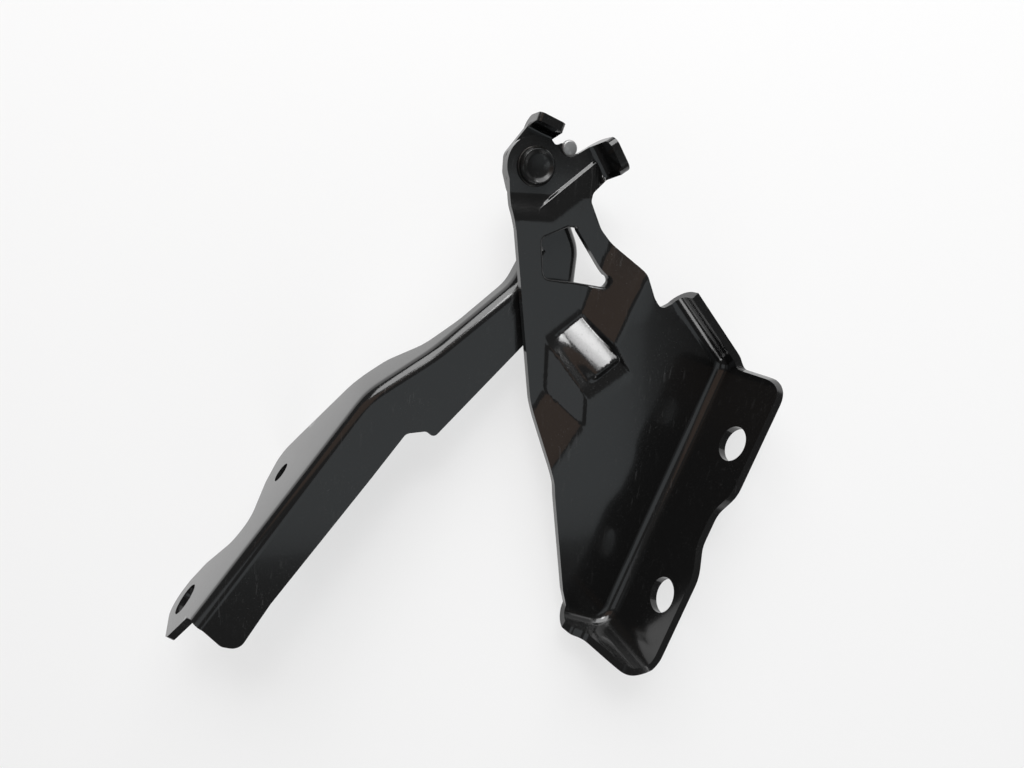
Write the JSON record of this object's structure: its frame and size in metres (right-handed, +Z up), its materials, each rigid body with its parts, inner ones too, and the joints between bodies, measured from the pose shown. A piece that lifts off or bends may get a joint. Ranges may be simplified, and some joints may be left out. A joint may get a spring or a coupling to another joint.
{
  "type": "bonnet hinge",
  "caption": "Pressed steel bonnet hinge: a deep-formed body bracket with a bolting flange and a flanged bonnet arm that turns on one riveted pivot, with a stop hook.",
  "frame": {"origin": "middle of the part's box, on the floor that it lies on", "axes": "+Z up with the part lying on its back, +Y from the flanged feet towards the pivot, +X towards the body bracket's bolting flange"},
  "size_m": [0.2274, 0.1984, 0.0512],
  "materials": {
    "black_coat": "satin black electrocoat",
    "rivet_steel": "dark coated steel, worn",
    "bush_bronze": "dark sintered bronze",
    "bare_steel": "bare zinc-plated steel"
  },
  "bodies": {
    "bracket": {"body_bracket": "black_coat", "pivot_bush": "bush_bronze", "spacer_washer": "bush_bronze"},
    "arm": {"bonnet_arm": "black_coat", "pivot_rivet": "rivet_steel", "tail_washer": "rivet_steel", "stop_stud": "bare_steel"}
  },
  "joints": [
    {"name": "bonnet_pivot", "type": "hinge", "parent": "bracket", "child": "arm", "pos_m": [0.02202, 0.0816, 0.03254], "axis": [-0.4392, 0.1617, -0.8837], "range_deg": [-16, 35]}
  ]
}
